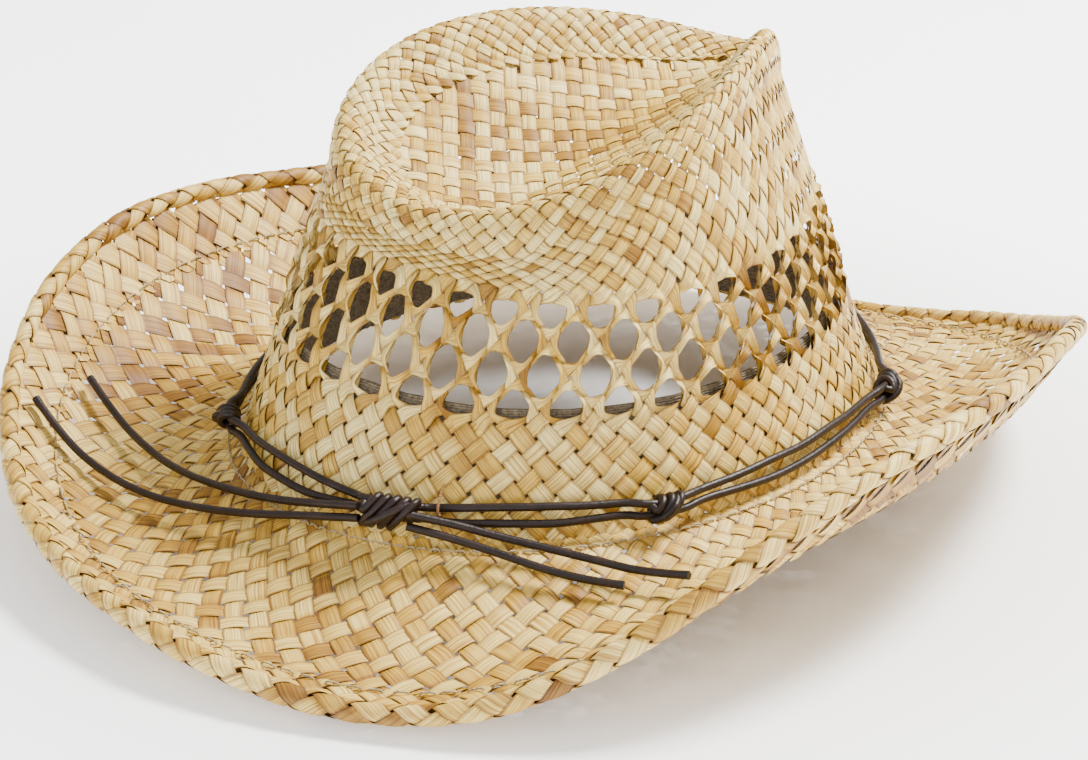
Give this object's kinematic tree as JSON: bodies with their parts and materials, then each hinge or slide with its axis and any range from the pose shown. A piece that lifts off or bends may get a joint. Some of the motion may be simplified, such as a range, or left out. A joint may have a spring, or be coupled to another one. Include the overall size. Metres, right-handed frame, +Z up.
{
  "type": "cowboy hat",
  "caption": "Woven straw western hat with an upturned brim, pinched teardrop crown, open vent band and a knotted dark cord hatband with loose tails.",
  "frame": {"origin": "centre of the footprint, on the surface that the dips of the brim stand on", "axes": "+Z up, +Y along the head towards the pinched end of the crown, -Y towards the end with the big knot, +X to the side"},
  "size_m": [0.302, 0.3323, 0.1357],
  "materials": {
    "straw": "matte",
    "straw_lattice": "matte",
    "straw_roll": "matte",
    "sweatband_cloth": "matte",
    "cord": "satin",
    "thread": "matte",
    "tack_thread": "matte",
    "steel_wire": "brushed"
  },
  "bodies": {
    "root": {"brim": "straw", "brim_hem": "straw", "brim_edge_roll": "straw_roll", "brim_wire": "steel_wire", "wire_sleeve": "steel_wire", "hem_stitching": "thread", "crown_base_band": "straw", "vent_band": "straw_lattice", "crown_top": "straw", "sweatband": "sweatband_cloth", "sweatband_stitching": "thread", "seam_stitching": "thread", "knot_tack": "tack_thread", "upper_strand_1": "cord", "lower_strand_1": "cord", "upper_strand_2": "cord", "lower_strand_2": "cord", "upper_strand_3": "cord", "lower_strand_3": "cord", "upper_strand_4": "cord", "lower_strand_4": "cord", "upper_strand_5": "cord", "lower_strand_5": "cord", "upper_strand_6": "cord", "lower_strand_6": "cord", "upper_strand_7": "cord", "lower_strand_7": "cord", "main_knot": "cord", "overhand_knot_1": "cord", "overhand_knot_2": "cord", "overhand_knot_3": "cord", "overhand_knot_4": "cord", "overhand_knot_5": "cord", "overhand_knot_6": "cord", "tail_left_outer": "cord", "tail_left_inner": "cord", "tail_right_outer": "cord", "tail_right_inner": "cord"}
  },
  "joints": []
}
